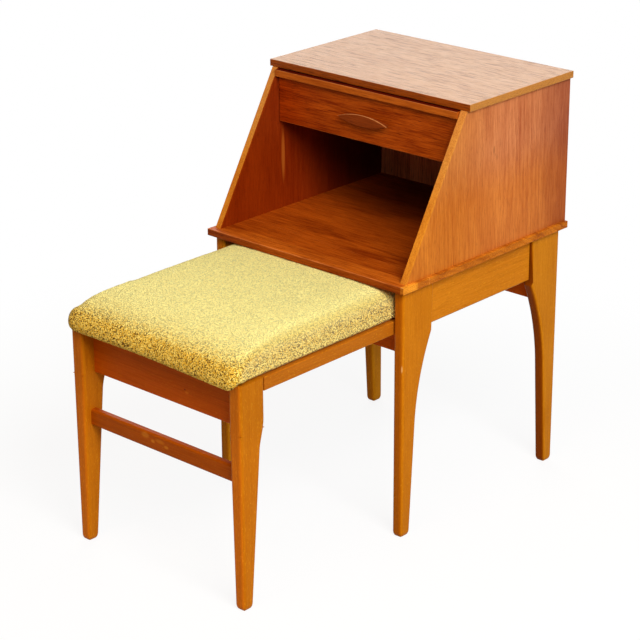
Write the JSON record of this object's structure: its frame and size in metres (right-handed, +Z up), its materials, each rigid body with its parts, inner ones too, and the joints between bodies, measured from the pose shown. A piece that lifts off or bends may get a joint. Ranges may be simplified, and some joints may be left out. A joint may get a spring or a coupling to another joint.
{
  "type": "telephone bench",
  "caption": "Telephone bench: a small cabinet with writing slide, drawer and open telephone shelf on flared legs, with a padded seat that slides in under the shelf.",
  "frame": {"origin": "on the floor, in the middle of the width and of the depth with the seat pulled out", "axes": "+X to the right as seen by someone facing the seat's front, +Y from the seat to the cabinet's back, +Z up"},
  "size_m": [0.45, 0.8124, 0.735],
  "materials": {
    "teak_veneer": "satin lacquered teak veneer, reddish brown, fine dark grain lines",
    "teak_solid": "satin lacquered solid teak, darker red brown",
    "golden_wood": "satin lacquered hardwood, golden brown",
    "beech": "plain unfinished beech",
    "plywood": "plain plywood",
    "hardboard": "stained board, matt",
    "boucle": "yellow looped wool upholstery cloth",
    "steel": "plain zinc-plated steel"
  },
  "bodies": {
    "cabinet": {"top_board": "teak_veneer", "side_panel_left": "teak_veneer", "side_panel_right": "teak_veneer", "shelf_board": "teak_veneer", "back_panel": "hardboard", "back_pins": "steel", "slide_rail": "beech", "slide_guide_left": "beech", "slide_guide_right": "beech", "drawer_runner_left": "beech", "drawer_runner_right": "beech", "leg_front_left": "golden_wood", "leg_front_right": "golden_wood", "leg_back_left": "golden_wood", "leg_back_right": "golden_wood", "apron_left": "golden_wood", "apron_right": "golden_wood", "cross_rail_front": "golden_wood", "cross_rail_back": "golden_wood", "seat_runner_left": "beech", "seat_runner_right": "beech", "seat_stops": "beech", "panel_dowels": "beech", "frame_dowels": "beech", "shelf_screws": "steel", "runner_screws": "steel"},
    "writing_slide": {"slide_board": "teak_veneer", "slide_lipping": "golden_wood", "slide_pegs": "beech"},
    "drawer": {"drawer_front": "teak_solid", "drawer_side_left": "beech", "drawer_side_right": "beech", "drawer_back": "beech", "drawer_bottom": "plywood", "drawer_dowels": "beech", "drawer_pull": "teak_solid", "pull_screws": "steel"},
    "seat": {"seat_leg_left": "golden_wood", "seat_leg_right": "golden_wood", "seat_apron": "golden_wood", "seat_stretcher": "golden_wood", "seat_rail_left": "golden_wood", "seat_rail_right": "golden_wood", "seat_rail_rear": "beech", "seat_corner_blocks": "beech", "seat_board": "plywood", "seat_dowels": "beech", "seat_screws": "steel", "seat_cushion": "boucle"}
  },
  "joints": [
    {"name": "seat_slide", "type": "slide", "parent": "cabinet", "child": "seat", "axis": [0, 1, 0], "range_m": [0, 0.337]},
    {"name": "drawer_slide", "type": "slide", "parent": "cabinet", "child": "drawer", "axis": [0, -1, 0], "range_m": [0, 0.18]},
    {"name": "writing_slide_travel", "type": "slide", "parent": "cabinet", "child": "writing_slide", "axis": [0, -1, 0], "range_m": [0, 0.19]}
  ]
}
